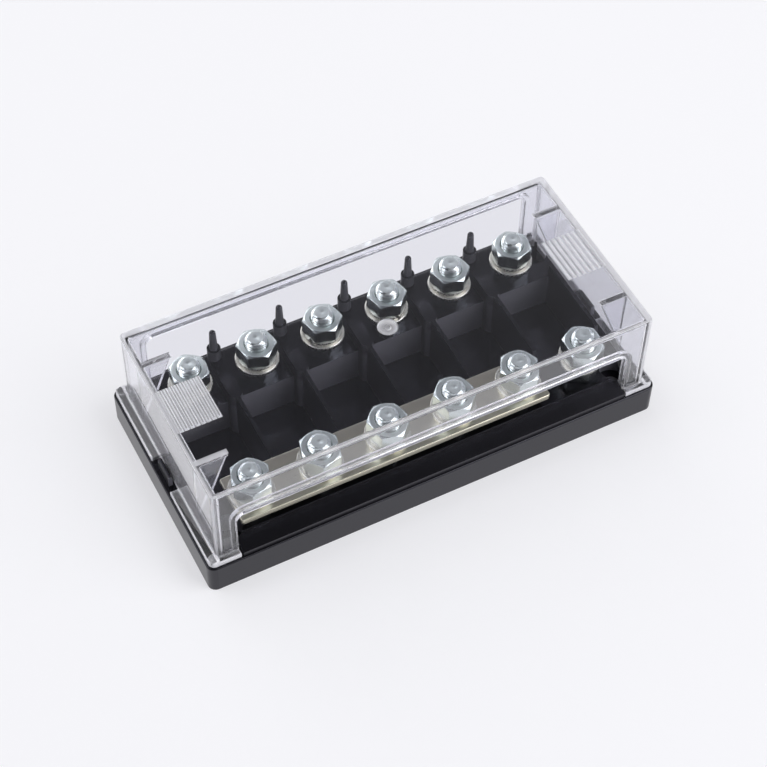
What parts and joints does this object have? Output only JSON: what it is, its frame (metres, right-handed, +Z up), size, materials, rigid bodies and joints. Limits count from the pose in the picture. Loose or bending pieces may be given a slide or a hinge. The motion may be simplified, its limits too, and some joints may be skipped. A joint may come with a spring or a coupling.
{
  "type": "fuse holder",
  "caption": "Bolt-down fuse holder: black base with two rows of threaded studs, a common bar along one row, wells between ribs, and a clear lift-off cover open at front and rear.",
  "frame": {"origin": "middle of the base's underside", "axes": "+X along the base to the sixth way, +Y to the rear stud row, +Z up along the studs"},
  "size_m": [0.177, 0.0862, 0.0496],
  "materials": {
    "black_moulding": "glossy black moulded plastic",
    "clear_polycarbonate": "clear polished plastic",
    "tinned_brass": "dull plated bar",
    "zinc_bolt": "bright zinc plate on rolled thread",
    "zinc_nut": "bright zinc plate",
    "zinc_washer": "bright zinc plate, slightly yellow"
  },
  "bodies": {
    "holder": {"base": "black_moulding", "busbar": "tinned_brass", "rear_bolt_1": "zinc_bolt", "rear_bolt_2": "zinc_bolt", "rear_bolt_3": "zinc_bolt", "rear_bolt_4": "zinc_bolt", "rear_bolt_5": "zinc_bolt", "rear_bolt_6": "zinc_bolt", "front_bolt_1": "zinc_bolt", "front_bolt_2": "zinc_bolt", "front_bolt_3": "zinc_bolt", "front_bolt_4": "zinc_bolt", "front_bolt_5": "zinc_bolt", "front_bolt_6": "zinc_bolt", "rear_nut_1": "zinc_nut", "rear_nut_2": "zinc_nut", "rear_nut_3": "zinc_nut", "rear_nut_4": "zinc_nut", "rear_nut_5": "zinc_nut", "rear_nut_6": "zinc_nut", "front_nut_1": "zinc_nut", "front_nut_2": "zinc_nut", "front_nut_3": "zinc_nut", "front_nut_4": "zinc_nut", "front_nut_5": "zinc_nut", "front_nut_6": "zinc_nut", "rear_lower_nuts": "zinc_nut", "front_thin_nuts": "zinc_nut", "front_lower_nut": "zinc_nut", "rear_washers": "zinc_washer", "front_washers": "zinc_washer", "rear_spring_washers": "zinc_washer", "front_spring_washers": "zinc_washer"},
    "cover": {"cover": "clear_polycarbonate"}
  },
  "joints": [
    {"name": "cover_lift", "type": "slide", "parent": "holder", "child": "cover", "axis": [0, 0, 1], "range_m": [0, 0.06]}
  ]
}
